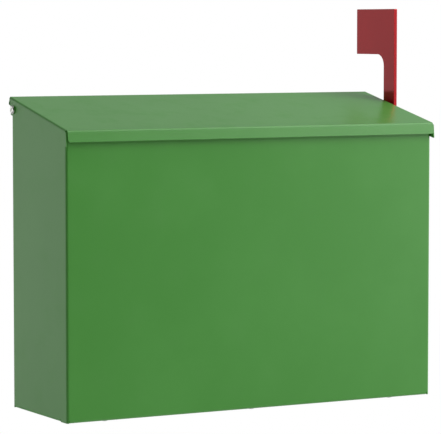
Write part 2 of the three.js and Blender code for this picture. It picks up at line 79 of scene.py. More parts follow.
hingeY = box["depth"] - box["hingeInset"]
hingeZ = edgeHeight(hingeY) - box["hingeInset"] / slopeCos
bendStart = box["halfWidth"] - box["bend"]
backFace = box["depth"] - box["sheet"] - box["gap"]
same = 1e-7                     # two places closer than this are one
digits = 7


class Wire:
    # one value in a finish's shader; arithmetic on it adds a Math node
    def __init__(self, finish, socket):
        self.finish = finish
        self.socket = socket

    def maths(self, operation, *values):
        return self.finish.node("Math", {"operation": operation}, dict(enumerate(values)))

    def __add__(self, other):
        return self.maths("ADD", self, other)

    def __radd__(self, other):
        return self.maths("ADD", other, self)

    def __sub__(self, other):
        return self.maths("SUBTRACT", self, other)

    def __rsub__(self, other):
        return self.maths("SUBTRACT", other, self)

    def __mul__(self, other):
        return self.maths("MULTIPLY", self, other)

    def __rmul__(self, other):
        return self.maths("MULTIPLY", other, self)

    def step(self, low, high):
        # 0 below low, 1 above high and smooth between
        sockets = {"Value": self, "From Min": low, "From Max": high}
        return self.finish.node("MapRange", {"interpolation_type": "SMOOTHSTEP"}, sockets)


class Finish:
    # a material or a world while its nodes are made
    def __init__(self, owner):
        owner.use_nodes = True
        self.owner = owner
        self.tree = owner.node_tree
        self.tree.nodes.clear()

    def node(self, kind, settings=None, sockets=None, out=0):
        # settings go first because some of them change which sockets there are
        made = self.tree.nodes.new("ShaderNode" + kind)
        for key, value in (settings or {}).items():
            setattr(made, key, value)
        for key, value in (sockets or {}).items():
            if isinstance(value, Wire):
                self.tree.links.new(value.socket, made.inputs[key])
            else:
                made.inputs[key].default_value = value
        return Wire(self, made.outputs[out]) if len(made.outputs) else None

    def place(self):
        return self.node("TexCoord", out="Object")

    def noise(self, scale, detail, roughness, where=None):
        sockets = {"Scale": scale, "Detail": detail, "Roughness": roughness}
        return self.node("TexNoise", {}, {"Vector": where or self.place(), **sockets})

    def mix(self, factor, first, second):
        # inputs 6 and 7 are a colour Mix node's two colours and output 2 is its colour
        one, other = [value if isinstance(value, Wire) else (*value, 1) for value in (first, second)]
        settings = {"data_type": "RGBA", "clamp_factor": True}
        return self.node("Mix", settings, {0: factor, 6: one, 7: other}, out=2)


def newFinish(name):
    return Finish(bpy.data.materials.new(name))


def principled(finish, sockets, bumps=()):
    # bumps are (height, strength, distance), one Bump node above the other
    normal = {}
    for height, strength, distance in bumps:
        made = {"Height": height, "Strength": strength, "Distance": distance, **normal}
        normal = {"Normal": finish.node("Bump", {}, made)}
    shader = finish.node("BsdfPrincipled", {}, {**sockets, **normal})
    finish.node("OutputMaterial", {}, {"Surface": shader})
    return finish.owner


coat = {
    "green": (0.0736, 0.322, 0.0465),
    "pale": (0.080, 0.335, 0.0520),
    "deep": (0.067, 0.309, 0.0410),
    "roughness": 0.31,
    "dusty": 0.05,              # roughness added by dull patches
    "cloudScale": 9,
    "dullScale": 34,
    "fleckScale": 1400,
    "fleckShare": 0.12,
    "peelScale": 620,           # orange peel, bumps per metre
    "peelDepth": 0.012 * mm,
    "waveScale": 26,            # slow unevenness of rolled sheet
    "waveDepth": 0.05 * mm,
}


def greenCoat():
    # semi-gloss powder coat: cloudy tone, fine orange peel, faint waves of the sheet, dull dusty patches
    f = newFinish("greenPowderCoat")
    cloud = f.noise(coat["cloudScale"], 4, 0.55)
    fleck = f.noise(coat["fleckScale"], 1, 0.5)
    tone = f.mix(cloud.step(0.35, 0.68), coat["deep"], coat["pale"])
    tone = f.mix(0.35, tone, coat["green"])
    tone = f.mix(fleck.step(0.62, 0.8) * coat["fleckShare"], tone, coat["pale"])
    dull = f.noise(coat["dullScale"], 5, 0.62).step(0.45, 0.75)
    peel = f.noise(coat["peelScale"], 2, 0.45)
    wave = f.noise(coat["waveScale"], 1, 0.4)
    roughness = coat["roughness"] + dull * coat["dusty"] + fleck * 0.02
    return principled(
        f,
        {"Base Color": tone, "Roughness": roughness, "IOR": 1.5},
        [(wave, 0.25, coat["waveDepth"]), (peel, 0.5, coat["peelDepth"])],
    )


lacquer = {
    "red": (0.50, 0.004, 0.010),
    "deep": (0.43, 0.003, 0.008),
    "metallic": 0.25,
    "roughness": 0.16,
    "rubbed": 0.06,             # roughness added by handling marks
    "cloudScale": 14,
    "markScale": 60,
    "peelScale": 900,
    "peelDepth": 0.005 * mm,
}


def redCoat():
    # glossy red lacquer over aluminium: clear depth, hardly any peel, a few faint handling marks
    f = newFinish("redFlagLacquer")
    cloud = f.noise(lacquer["cloudScale"], 3, 0.5)
    tone = f.mix(cloud.step(0.3, 0.7), lacquer["deep"], lacquer["red"])
    tone = f.mix(0.5, tone, lacquer["red"])
    turned = {"Vector": f.place(), "Rotation": (0.5, 0, 0), "Scale": (1, 1, 14)}
    marks = f.noise(lacquer["markScale"], 4, 0.6, f.node("Mapping", {}, turned)).step(0.6, 0.8)
    peel = f.noise(lacquer["peelScale"], 1, 0.4)
    roughness = lacquer["roughness"] + marks * lacquer["rubbed"]
    return principled(
        f,
        {"Base Color": tone, "Metallic": lacquer["metallic"], "IOR": 1.38, "Roughness": roughness},
        [(peel, 0.4, lacquer["peelDepth"])],
    )


nickel = {
    "bright": (0.80, 0.80, 0.77),
    "dull": (0.62, 0.61, 0.57),
    "roughness": 0.2,
    "dulled": 0.18,             # roughness added by dull spots
    "spotScale": 900,
    "grainScale": 2600,
    "grainDepth": 0.01 * mm,
}


def nickelPlate():
    # bright plate: fine turning marks and a few dull spots
    f = newFinish("nickelPlate")
    spots = f.noise(nickel["spotScale"], 3, 0.6)
    tone = f.mix(spots.step(0.5, 0.75), nickel["bright"], nickel["dull"])
    grain = f.noise(nickel["grainScale"], 2, 0.6)
    roughness = nickel["roughness"] + spots.step(0.5, 0.8) * nickel["dulled"]
    return principled(
        f,
        {"Base Color": tone, "Metallic": 1.0, "Roughness": roughness},
        [(grain, 0.25, nickel["grainDepth"])],
    )


zinc = {
    "bluish": (0.55, 0.57, 0.60),
    "yellowish": (0.62, 0.60, 0.52),
    "roughness": 0.34,
    "bloomed": 0.16,            # roughness added by the bloom
    "bloomScale": 420,
    "grainScale": 2200,
    "grainDepth": 0.01 * mm,
}


def zincPlate():
    # bluish and yellowish bloom with a soft sheen
    f = newFinish("zincPlate")
    bloom = f.noise(zinc["bloomScale"], 4, 0.6)
    tone = f.mix(bloom.step(0.35, 0.7), zinc["bluish"], zinc["yellowish"])
    roughness = zinc["roughness"] + bloom.step(0.4, 0.8) * zinc["bloomed"]
    return principled(
        f,
        {"Base Color": tone, "Metallic": 1.0, "Roughness": roughness},
        [(f.noise(zinc["grainScale"], 2, 0.5), 0.2, zinc["grainDepth"])],
    )


aluminium = {
    "clean": (0.66, 0.67, 0.68),
    "scuffed": (0.50, 0.51, 0.52),
    "roughness": 0.3,
    "scuffing": 0.25,           # roughness added by scuffs
    "scuffScale": 1300,
    "scuffDepth": 0.02 * mm,
}


def rivetAluminium():
    # drawn aluminium: grey sheen with scuffs from the setting tool
    f = newFinish("rivetAluminium")
    scuff = f.noise(aluminium["scuffScale"], 4, 0.65)
    tone = f.mix(scuff.step(0.4, 0.7), aluminium["clean"], aluminium["scuffed"])
    roughness = aluminium["roughness"] + scuff.step(0.45, 0.8) * aluminium["scuffing"]
    return principled(
        f,
        {"Base Color": tone, "Metallic": 1.0, "Roughness": roughness},
        [(scuff, 0.3, aluminium["scuffDepth"])],
    )


nylon = {
    "milky": (0.80, 0.79, 0.73),
    "waxy": (0.72, 0.71, 0.64),
    "roughness": 0.42,
    "translucency": 0.15,
    "cloudScale": 300,
    "grainScale": 1500,
    "grainDepth": 0.02 * mm,
}


def whiteNylon():
    # natural nylon: milky, waxy and a little translucent
    f = newFinish("naturalNylon")
    cloud = f.noise(nylon["cloudScale"], 3, 0.5)
    tone = f.mix(cloud.step(0.3, 0.7), nylon["milky"], nylon["waxy"])
    inside = {"Subsurface Weight": nylon["translucency"], "Subsurface Scale": 2 * mm}
    return principled(
        f,
        {"Base Color": tone, "Roughness": nylon["roughness"] + cloud * 0.1, **inside},
        [(f.noise(nylon["grainScale"], 2, 0.5), 0.2, nylon["grainDepth"])],
    )


rubber = {
    "black": (0.016, 0.016, 0.017),
    "bloomed": (0.045, 0.045, 0.043),
    "roughness": 0.7,
    "bloomScale": 500,
    "grainScale": 2400,
    "grainDepth": 0.03 * mm,
}


def blackRubber():
    # moulded rubber with grey bloom
    f = newFinish("blackRubber")
    bloom = f.noise(rubber["bloomScale"], 4, 0.6)
    tone = f.mix(bloom.step(0.45, 0.8), rubber["black"], rubber["bloomed"])
    return principled(
        f,
        {"Base Color": tone, "Roughness": rubber["roughness"] + bloom * 0.2},
        [(f.noise(rubber["grainScale"], 2, 0.6), 0.4, rubber["grainDepth"])],
    )


finishes = {
    "green_coat": greenCoat(),
    "red_coat": redCoat(),
    "bright_steel": nickelPlate(),
    "zinc_steel": zincPlate(),
    "rivet_aluminium": rivetAluminium(),
    "white_nylon": whiteNylon(),
    "bumper_rubber": blackRubber(),
}
print("finishes made:", len(finishes))

joins = {
    "weld": 0.003 * mm,         # points of neighbouring patches this close become one
    "sliver": 0.001 * mm,
    "cutEdge": 0.28 * mm,       # round on a sheet's cut edges
    "cutAngle": 50,
    "solidAngle": 35,
}


def patch(points):
    # points is an n by m grid of places; neighbours make quads
    n, m = points.shape[:2]
    at = np.arange(n * m).reshape(n, m)
    quads = np.stack([at[:-1, :-1], at[1:, :-1], at[1:, 1:], at[:-1, 1:]], -1)
    return points.reshape(-1, 3), quads.reshape(-1, 4)


def surface(x, y, z):
    # a patch from three coordinates that spread over one grid
    return patch(np.stack(np.broadcast_arrays(x, y, z), -1))


def welded(name, patches, inside):
    # one mesh from many patches: joined where they meet and wound to face away from the inside point
    starts = np.cumsum([0] + [len(points) for points, _ in patches])
    places = np.concatenate([points for points, _ in patches])
    faces = np.concatenate([quads + start for (_, quads), start in zip(patches, starts)])
    mesh = bpy.data.meshes.new(name)
    mesh.from_pydata(places.tolist(), [], faces.tolist())
    work = bmesh.new()
    work.from_mesh(mesh)
    bmesh.ops.remove_doubles(work, verts=work.verts, dist=joins["weld"])
    bmesh.ops.dissolve_degenerate(work, edges=work.edges, dist=joins["sliver"])
    bmesh.ops.recalc_face_normals(work, faces=work.faces)
    away = [
        face.calc_area() * face.normal.dot(face.calc_center_median() - Vector(inside)) for face in work.faces
    ]
    if sum(away) < 0:
        bmesh.ops.reverse_faces(work, faces=work.faces)
    work.to_mesh(mesh)
    work.free()
    return mesh


def makePiece(name, mesh, finish, body, stands):
    # an object for the mesh that rides its body and stands for its CAD nodes
    piece = bpy.data.objects.new(name, mesh)
    scene.collection.objects.link(piece)
    mesh.materials.append(finishes[finish])
    mesh.shade_smooth()
    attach(piece, body)
    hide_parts(*stands)
    return piece


def softenEdges(piece, width, angle):
    # a small round where faces meet at more than the angle; the flats keep their own normals
    if width:
        edge = piece.modifiers.new("edge", "BEVEL")
        edge.width = width
        edge.segments = 2
        edge.limit_method = "ANGLE"
        edge.angle_limit = math.radians(angle)
    level = piece.modifiers.new("level", "WEIGHTED_NORMAL")
    level.mode = "FACE_AREA"
    level.weight = 50


def sheetPiece(name, patches, sheet, finish, body, stands, inside, cutEdge=joins["cutEdge"]):
    # a sheet's drawn face, its wall behind that face and a small round on every cut edge
    patches = [(points + origin, quads) for points, quads in patches]
    mesh = welded(name, patches, origin + np.array(inside))
    piece = makePiece(name, mesh, finish, body, [stands])
    wall = piece.modifiers.new("sheet", "SOLIDIFY")
    wall.thickness = sheet
    wall.offset = -1
    wall.use_even_offset = True
    wall.use_rim = True
    softenEdges(piece, cutEdge, joins["cutAngle"])


def lengths(path):
    # distance along the path at each of its points
    return np.concatenate([[0], np.cumsum(np.linalg.norm(np.diff(path, axis=0), axis=1))])


def foldLine(corners, radius, steps=8):
    # a path with round bends: straight runs joined by arcs of the given radius at each inner corner
    points = [np.array(corners[0], float)]
    for before, corner, after in zip(corners[:-2], corners[1:-1], corners[2:]):
        corner = np.array(corner, float)
        come = corner - before
        come /= np.linalg.norm(come)
        go = np.array(after, float) - corner
        go /= np.linalg.norm(go)
        angle = math.atan2(come[0] * go[1] - come[1] * go[0], come @ go)
        reach = radius * math.tan(abs(angle) / 2)
        side = math.copysign(1, angle)
        centre = corner - come * reach + side * radius * np.array([-come[1], come[0]])
        arm = corner - come * reach - centre
        sweep = np.linspace(0, angle, steps + 1)
        cos, sin = np.cos(sweep), np.sin(sweep)
        points.extend(np.stack([arm[0] * cos - arm[1] * sin, arm[0] * sin + arm[1] * cos], 1) + centre)
    points.append(np.array(corners[-1], float))
    return np.array(points)


def runs(*marks, step):
    # stops through all marks in order, with even steps between them
    stops = [np.array([marks[0]])]
    for low, high in zip(marks[:-1], marks[1:]):
        count = max(1, int(math.ceil(abs(high - low) / step)))
        stops.append(np.linspace(low, high, count + 1)[1:])
    return np.concatenate(stops)


def rounded(d, radius):
    # how far a corner of that radius lifts an edge at the distance d from its end: r - sqrt(r^2 - (r-d)^2)
    inside = np.clip(radius - d, 0, radius)
    return radius - np.sqrt(radius ** 2 - inside ** 2)


def cornerStops(radius, count):
    # stops from 0 to the radius, dense where a round corner starts: r (1 - cos t)
    return radius * (1 - np.cos(np.linspace(0, math.pi / 2, count)))


def cornerRuns(low, high, radius, step):
    # stops from low to high, dense at both ends where a corner is round
    curve = cornerStops(radius, 7)
    inner = runs(low + radius, high - radius, step=step)
    return np.concatenate([low + curve[:-1], inner, (high - curve[:-1])[::-1]])


holeGrid = {
    "steps": 8,                 # sections on each side of the cell
    "cell": 1.7,                # the cell's half width for a hole of radius 1
    "rings": 4,
}


def bored(path, across, holes):
    # a folded sheet: the section path is carried across, and each hole (along, across, radius) is a
    # ring between a circle and the square cell around it
    length = lengths(path)
    steps = holeGrid["steps"]

    def cuts(centre, radius):
        # the lines of a hole's cell
        half = radius * holeGrid["cell"]
        return centre + np.linspace(-half, half, steps + 1)

    def lines(own, index):
        # the sheet's own lines, less those that would cross a hole's cell, and the cells' lines
        cells = [cuts(one[index], one[2]) for one in holes]
        clear = np.array([(own < cell[0]) | (own > cell[-1]) for cell in cells]).all(0)
        return np.unique(np.round(np.concatenate([own[clear], *cells]), digits))

    def place(s, w):
        # s along the section and w across the sheet
        return surface(w, np.interp(s, length, path[:, 0]), np.interp(s, length, path[:, 1]))

    s, w = np.meshgrid(lines(length, 0), lines(across, 1), indexing="ij")
    points, quads = place(s, w)
    middle = np.stack([s.reshape(-1), w.reshape(-1)], 1)[quads].mean(1)
    keep = np.ones(len(quads), bool)
    rings = []
    for *centre, radius in holes:
        keep &= (abs(middle - centre) >= radius * holeGrid["cell"]).any(1)
        a, b = [np.unique(np.round(cuts(c, radius), digits)) for c in centre]
        square = np.concatenate([
            np.stack([a[:-1], np.full(steps, b[0])], 1),
            np.stack([np.full(steps, a[-1]), b[:-1]], 1),
            np.stack([a[:0:-1], np.full(steps, b[-1])], 1),
            np.stack([np.full(steps, a[0]), b[:0:-1]], 1),
            [[a[0], b[0]]],
        ])
        angle = np.linspace(0, turn, 4 * steps + 1) - 0.75 * math.pi
        circle = centre + radius * np.stack([np.cos(angle), np.sin(angle)], 1)
        blend = np.linspace(0, 1, holeGrid["rings"])[:, None, None]
        ring = square * (1 - blend) + circle * blend
        rings.append(place(ring[..., 0], ring[..., 1]))
    return [(points, quads[keep]), *rings]


def lathe(outline, steps=40):
    # a turned piece: the outline of (radius, height) points is swept round +Z
    radius, height = np.array(outline, float).T
    angle = np.linspace(0, turn, steps + 1)
    return surface(radius[:, None] * np.cos(angle), radius[:, None] * np.sin(angle), height[:, None])


def arc(centre, radius, start, end, steps=5):
    # points on a circle between two angles in degrees
    angle = np.radians(np.linspace(start, end, steps + 1))
    return [(centre[0] + radius * math.cos(a), centre[1] + radius * math.sin(a)) for a in angle]


shell = {
    "mainRows": 14,
    "upperRows": (5, 3),        # rows below and within the round about the hinge
    "footRows": 4,
    "acrossStep": 16 * mm,
    "sideStep": 7 * mm,
    "hingeStep": 0.8 * mm,
    "nearStep": 3 * mm,
    "flangeStep": 4 * mm,
}


def bodyShell():
    # a plan outline carried upwards: z runs from the foot to the top edge, which follows the slope on
    # the sides and turns round the hinge at the rear; flanges fold in at the foot and along the front
    half, depth, bend, slit = box["halfWidth"], box["depth"], box["bend"], box["slit"]
    returnTop = edgeHeight(0) - box["returnDrop"]
    split = returnTop - bend
    arcStart = hingeY - box["hingeInset"] * slopeSin
    lowRows, roundRows = shell["upperRows"]
    share = (hingeZ - 2 * bend - split) / (hingeZ - split)
    rows = np.concatenate([np.linspace(0, share, lowRows), np.linspace(share, 1, roundRows)[1:]])
    foot = np.linspace(0, bend, shell["footRows"])
    main = np.linspace(bend, split, shell["mainRows"])
    patches = []

    def topOf(y):
        # the sloping edge, then the circle about the hinge: z = hingeZ + sqrt(inset^2 - (y - hingeY)^2)
        circle = hingeZ + np.sqrt(np.clip(box["hingeInset"] ** 2 - (y - hingeY) ** 2, 0, None))
        return np.where(y < arcStart, edgeHeight(y), circle)

    def wall(xy, heights):
        # heights has a row for each level and a column for each place along the plan, or one column
        patches.append(surface(xy[None, :, 0], xy[None, :, 1], heights))

    frontHalf, sideFrom, sideTo = bendStart - slit, box["flange"] + slit, depth - bend - slit
    frontX = runs(bendStart, frontHalf, -frontHalf, -bendStart, step=shell["acrossStep"])
    wall(np.stack([frontX, np.zeros_like(frontX)], 1), main[:, None])
    quarter = np.radians(np.linspace(0, 90, 9))
    for sign in (-1, 1):
        frontBend = np.stack([bendStart + bend * np.sin(quarter), bend - bend * np.cos(quarter)], 1)
        rearBend = np.stack([bendStart + bend * np.cos(quarter), depth - bend + bend * np.sin(quarter)], 1)
        nearY = runs(bend, box["flange"], step=shell["nearStep"])
        farY = np.concatenate([
            runs(box["flange"], sideFrom, arcStart, step=shell["sideStep"]),
            runs(arcStart, sideTo, depth - bend, step=shell["hingeStep"])[1:],
        ])
        flangeX = runs(bendStart, half - box["flange"], step=shell["flangeStep"])
        near = np.stack([np.full_like(nearY, half), nearY], 1)
        far = np.stack([np.full_like(farY, half), farY], 1)
        flange = np.stack([flangeX, np.full_like(flangeX, depth)], 1)
        # plan, whether it reaches the foot's bend, whether its top follows the side's edge
        stretches = [
            (frontBend, True, True), (near, True, True), (far, False, True),
            (rearBend, True, True), (flange, True, False),
        ]
        for xy, footed, sloped in stretches:
            xy = (xy * (sign, 1))[::sign]
            if footed:
                wall(xy, foot[:, None])
            wall(xy, main[:, None])
            if sloped:
                wall(xy, split + rows[:, None] * (topOf(xy[:, 1]) - split))
            else:
                wall(xy, split + rows[:lowRows, None] * (hingeZ - split))
        # the side's foot flange: a fold from the wall inwards, carried along y
        x, z = foldLine([(half, bend), (half, 0), (half - box["flange"], 0)], bend).T
        y = farY[(farY > sideFrom - slit / 2) & (farY < sideTo + slit / 2)]
        patches.append(surface(sign * x[:, None], y[::-sign], z[:, None]))
    # the front's foot flange and the return along its top, carried across
    returnEnd = (box["returnDepth"] * slopeCos, returnTop + box["returnDepth"] * slopeSin)
    footFold = foldLine([(0, bend), (0, 0), (box["flange"], 0)], bend)
    topFold = foldLine([(0, split), (0, returnTop), returnEnd], bend)
    for fold, order in ((footFold, 1), (topFold, -1)):
        patches.append(surface(frontX[1:-1][::order], fold[:, :1], fold[:, 1:]))
    return patches


middle = (0, box["depth"] / 2, box["frontHeight"] / 2)
sheetPiece("bodyShell", bodyShell(), box["sheet"], "green_coat", "box", "body_shell", middle)
print("body shell made")

lid = {
    "sheet": 1.0 * mm,
    "bend": 2.0 * mm,
    "clearance": 0.9 * mm,      # sides' top edge to the lid's underside
    "frontOverhang": 4.0 * mm,
    "rearOverhang": 3.4 * mm,
    "frontLip": (10.9 * mm, math.radians(9)),   # length and flare from upright
    "rearLip": (9.6 * mm, math.radians(25)),
    "lipEndGap": 0.5 * mm,
    "lipCorner": 2.5 * mm,
    "skirtDrop": (14.7 * mm, 16.1 * mm),        # at its front and at its rear
    "skirtInset": (0.9 * mm, 3.5 * mm),
    "skirtLean": math.radians(5),
    "skirtCorner": 0.9 * mm,
    "acrossStep": 14 * mm,
    "sideStep": 6 * mm,
}


def lidShell():
    # drawn flat about the hinge: a flat between two bent lips, with side folds that end in skirts
    # whose fore and aft edges lean; then turned to the slope
    outer, bend, slit = lidHigh.x, lid["bend"], box["slit"]
    flatHalf, lipHalf = outer - bend, outer - lid["sheet"] - lid["lipEndGap"]
    top = box["hingeInset"] + lid["clearance"] + lid["sheet"]

    def lipEnd(depth, lip, sign):
        # where the flat and the lip meet, where the bend starts, and how the lip stands to the flat
        length, flare = lip
        tilt = flare - sign * box["slope"]
        sweep = math.pi / 2 - tilt
        reach = bend * math.tan(sweep / 2)
        corner = (depth - hingeY + top * slopeSin) / slopeCos
        return {"corner": corner, "flat": corner - sign * reach, "sign": sign,
                "tilt": tilt, "sweep": sweep, "run": length - reach}

    front = lipEnd(-lid["frontOverhang"], lid["frontLip"], -1)
    rear = lipEnd(box["depth"] + lid["rearOverhang"], lid["rearLip"], 1)
    foldStart, foldStop = front["flat"] + slit, rear["flat"] - slit
    roundStops = cornerStops(lid["skirtCorner"], 6)[:-1]
    foldY = np.concatenate([
        runs(foldStart, foldStop - lid["skirtCorner"], step=lid["sideStep"]),
        (foldStop - roundStops)[::-1],
    ])
    slopeY = np.concatenate([
        [front["flat"], front["flat"] + slit / 2], foldY, [rear["flat"] - slit / 2, rear["flat"]],
    ])
    across = np.unique(np.round(np.concatenate([
        runs(-flatHalf, flatHalf, step=lid["acrossStep"]),
        cornerRuns(-lipHalf, lipHalf, lid["lipCorner"], lid["acrossStep"]),
    ]), digits))
    patches = [surface(across[abs(across) <= flatHalf + same], slopeY[:, None], top)]
    for end in (front, rear):
        sign = end["sign"]
        # the ends of the flat beyond the side folds, up to the notch
        notch = np.array([end["flat"], end["flat"] - sign * slit / 2])
        for side in (-1, 1):
            patches.append(surface(across[side * across >= flatHalf - same], notch[:, None], top))
        # bend, then the lip, shortened at its ends by the round corner
        angle = np.linspace(0, end["sweep"], 9)[:, None]
        bendY = end["flat"] + sign * bend * np.sin(angle)
        bendZ = top - bend * (1 - np.cos(angle))
        patches.append(surface(across, bendY, bendZ))
        run = end["run"] - rounded(lipHalf - abs(across), lid["lipCorner"])
        along = np.linspace(0, 1, 6)[:, None] * run
        lipY = bendY[-1] + sign * along * math.sin(end["tilt"])
        patches.append(surface(across, lipY, bendZ[-1] - along * math.cos(end["tilt"])))

    def edges(drop):
        # the skirt's fore and aft edges; the aft one starts at the fold's end and has joined its
        # leaning line two bends below the top
        lean = math.tan(lid["skirtLean"] + box["slope"])
        ahead = front["corner"] + lid["skirtInset"][0] - drop * lean
        behind = rear["corner"] - lid["skirtInset"][1] - drop * lean
        ease = np.clip((2 * bend - drop) / bend, 0, 1)
        return ahead, behind * (1 - ease) + foldStop * ease

    start = edges(bend)[0]
    ahead = start + (foldStart - start) * cornerStops(1, 6)[:-1]
    share = (np.concatenate([ahead, foldY]) - start) / (foldStop - start)
    lowFront, lowRear = lid["skirtDrop"]
    low = lowFront + (lowRear - lowFront) * share
    low = low - rounded(np.minimum(share, 1 - share) * (foldStop - start), lid["skirtCorner"])
    down = np.concatenate([[0, 0.5], np.linspace(1, 2, 7)])[:, None]
    drop = bend * (1 + np.minimum(down, 1)) + np.maximum(down - 1, 0) * (low - 2 * bend)
    begin, finish = edges(drop)
    quarter = np.linspace(0, math.pi / 2, 9)[:, None]
    for side in (-1, 1):
        fold = side * (flatHalf + bend * np.sin(quarter))
        patches.append(surface(fold, foldY, top - bend * (1 - np.cos(quarter))))
        patches.append(surface(side * outer, begin + (finish - begin) * share, top - drop))
    turned = np.array([[1, 0, 0], [0, slopeCos, -slopeSin], [0, slopeSin, slopeCos]])
    return [(points @ turned.T + np.array([0, hingeY, hingeZ]), quads) for points, quads in patches]


underLid = (0, box["depth"] / 2, box["frontHeight"] - 100 * mm)
sheetPiece("lidShell", lidShell(), lid["sheet"], "green_coat", "lid", "lid", underLid)
print("lid made")

back = {
    "sheet": 1.2 * mm,
    "topRise": 2 * mm,
    "foldSlit": 1.7 * mm,       # between the back's folds and the side flanges
    "accessHole": 7 * mm,
    "acrossStep": 14 * mm,
    "wingStep": 4 * mm,
}
floorPlate = {
    "drain": 3 * mm,
    "drainInset": 32 * mm,
    "acrossStep": 14 * mm,
}
rail = {
    "sheet": 1.5 * mm,
    "bend": 3.0 * mm,
    "half": 150 * mm,
    "web": 30 * mm,
    "foot": 12 * mm,
    "wallHole": 2.75 * mm,
    "holeSpacing": 200 * mm,
    "acrossStep": 12 * mm,
}
wallPlane = -bodyLow.y
railHeights = {}
for level in ("upper", "lower"):
    low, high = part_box(level + "_wall_rail")
    railHeights[level] = (low.z + high.z) / 2 - bodyLow.z


def backPanel():
    # a plate whose wide middle runs full height, with a fold at the top and a flange at the foot
    foldHalf = box["halfWidth"] - box["flange"] - back["foldSlit"]
    top = hingeZ + back["topRise"]
    flangeEnd = backFace - back["sheet"] - box["flange"]
    path = foldLine([(flangeEnd, top), (backFace, top), (backFace, 0), (flangeEnd, 0)], box["bend"])
    plate = 9                   # the path's point where the plate starts, after the top bend
    plateTop = lengths(path)[plate] + path[plate, 1]
    holes = [
        (plateTop - height, side * rail["holeSpacing"] / 2, back["accessHole"])
        for height in railHeights.values() for side in (-1, 1)
    ]
    patches = bored(path, runs(-foldHalf, foldHalf, step=back["acrossStep"]), holes)
    # the wings beside the folds share the plate's rows down to the floor's level
    points = patches[0][0]
    z = np.unique(np.round(points[abs(points[:, 1] - backFace) < same, 2], digits))
    z = z[(z <= path[plate, 1] + 10 * same) & (z >= box["sheet"] + box["gap"] - 10 * same)]
    for side in (-1, 1):
        x = side * runs(foldHalf, bendStart, step=back["wingStep"])
        patches.append(surface(x[:, None], backFace, z))
    return patches


def floorPanel():
    # a flat plate carried across, with a drain in each corner
    front, rear = box["bend"], backFace - box["bend"]
    z = box["sheet"] + box["gap"] + back["sheet"]
    inset = floorPlate["drainInset"]
    holes = [
        (y - front, side * (bendStart - inset), floorPlate["drain"])
        for y in (front + inset, rear - inset) for side in (-1, 1)
    ]
    across = runs(-bendStart, bendStart, step=floorPlate["acrossStep"])
    return bored(np.array([(front, z), (rear, z)]), across, holes)


def wallRail(height):
    # a hat section: feet on the back panel, a web on the wall
    foot, half = backFace + box["gap"] + rail["sheet"], rail["web"] / 2
    path = foldLine([
        (foot, height - half - rail["foot"]), (foot, height - half), (wallPlane, height - half),
        (wallPlane, height + half), (foot, height + half), (foot, height + half + rail["foot"]),
    ], rail["bend"])
    webMiddle = lengths(path)[-1] / 2
    holes = [(webMiddle, side * rail["holeSpacing"] / 2, rail["wallHole"]) for side in (-1, 1)]
    return bored(path, runs(-rail["half"], rail["half"], step=rail["acrossStep"]), holes)


inFront, belowFloor = (0, -1.0, 0.14), (0, 0.06, -1.0)
sheetPiece("backPanel", backPanel(), back["sheet"], "green_coat", "box", "back_panel", inFront)
sheetPiece("floorPanel", floorPanel(), back["sheet"], "green_coat", "box", "floor_panel", belowFloor)
for level, height in railHeights.items():
    stands = level + "_wall_rail"
    sheetPiece(level + "WallRail", wallRail(height), rail["sheet"], "green_coat", "box", stands, inFront)
print("back, floor and rails made")

flag = {
    "thickness": 3.4 * mm,
    "inside": lidHigh.x + 3.3 * mm,
    "fromBack": 35.7 * mm,
    "drop": 39.7 * mm,          # pivot below the side's top edge
    "reach": 134.9 * mm,
    "arm": 19.6 * mm,
    "blade": (71.8 * mm, 46.3 * mm),
    "fillet": 12 * mm,
    "corner": 1 * mm,
    "foot": 17 * mm,
    "stopRadius": 11 * mm,
    "slotHalf": 2.3 * mm,
    "hole": 2.8 * mm,
    "edge": 0.35 * mm,
    "footStep": 1.5 * mm,
    "armStep": 2.6 * mm,
    "bladeStep": 5 * mm,
    "angleStep": 0.12,
}
pivotY = box["depth"] - flag["fromBack"]
pivot = np.array([0, pivotY, edgeHeight(pivotY) - flag["drop"]])


